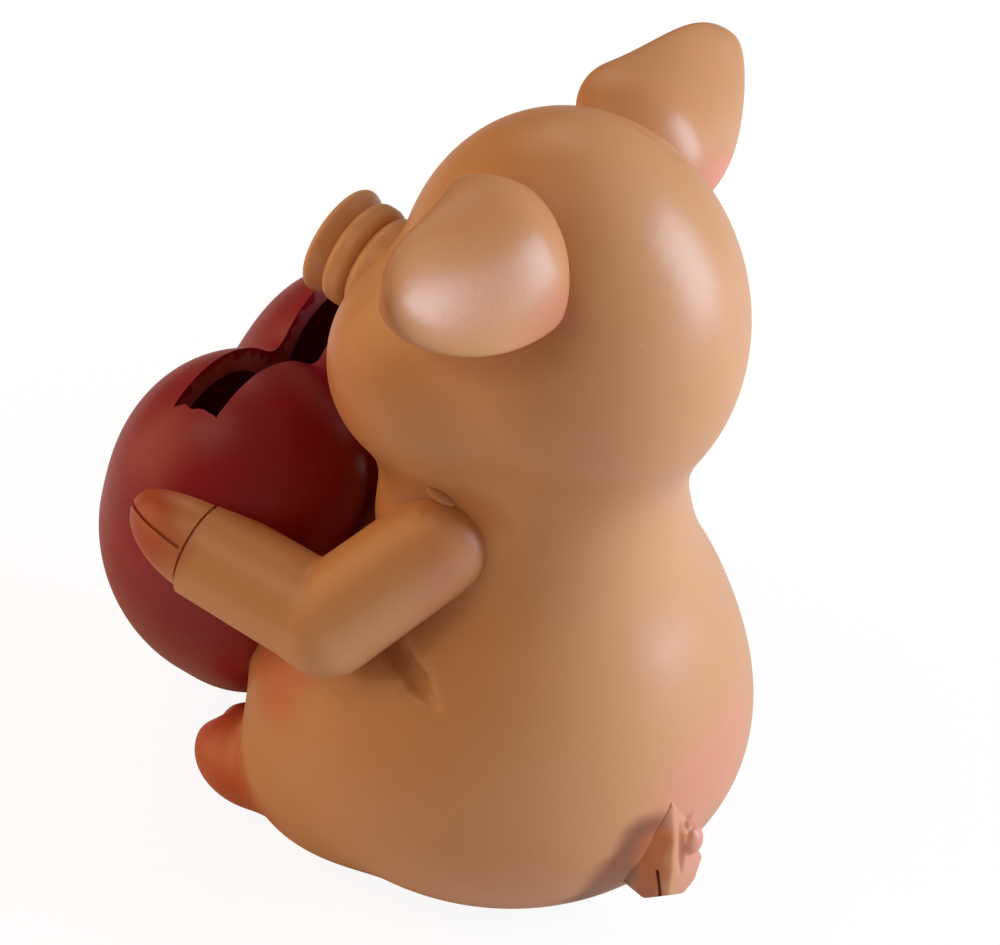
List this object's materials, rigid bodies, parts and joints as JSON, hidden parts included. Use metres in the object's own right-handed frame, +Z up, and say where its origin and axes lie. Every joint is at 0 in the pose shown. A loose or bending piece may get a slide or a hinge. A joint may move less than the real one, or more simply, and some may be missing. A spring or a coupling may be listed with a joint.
{
  "type": "pig money box",
  "caption": "Sitting pig money box that hugs a heart: coins go in at a slot in the heart's top and come out at a plugged hole in the base.",
  "frame": {"origin": "middle of the overall box in plan, on the table plane under the base", "axes": "+Z up; the pig faces -Y and its left side is +X"},
  "size_m": [0.0865, 0.1108, 0.1318],
  "materials": {
    "skin_paint": "airbrushed satin paint on cast resin",
    "heart_paint": "satin red paint on cast resin",
    "trotter_paint": "airbrushed satin paint on cast resin",
    "eye_gloss": "gloss black bead",
    "black_rubber": "moulded, matt"
  },
  "bodies": {
    "figurine": {"torso": "skin_paint", "head": "skin_paint", "heart": "heart_paint", "snout": "skin_paint", "tail": "skin_paint", "ear_left": "skin_paint", "ear_right": "skin_paint", "arm_left": "skin_paint", "arm_right": "skin_paint", "foot_left": "trotter_paint", "foot_right": "trotter_paint", "eye_left": "eye_gloss", "eye_right": "eye_gloss"},
    "stopper": {"stopper": "black_rubber"}
  },
  "joints": [
    {"name": "stopper_pull", "type": "slide", "parent": "figurine", "child": "stopper", "axis": [0, 0, -1], "range_m": [0, 0.04]}
  ]
}
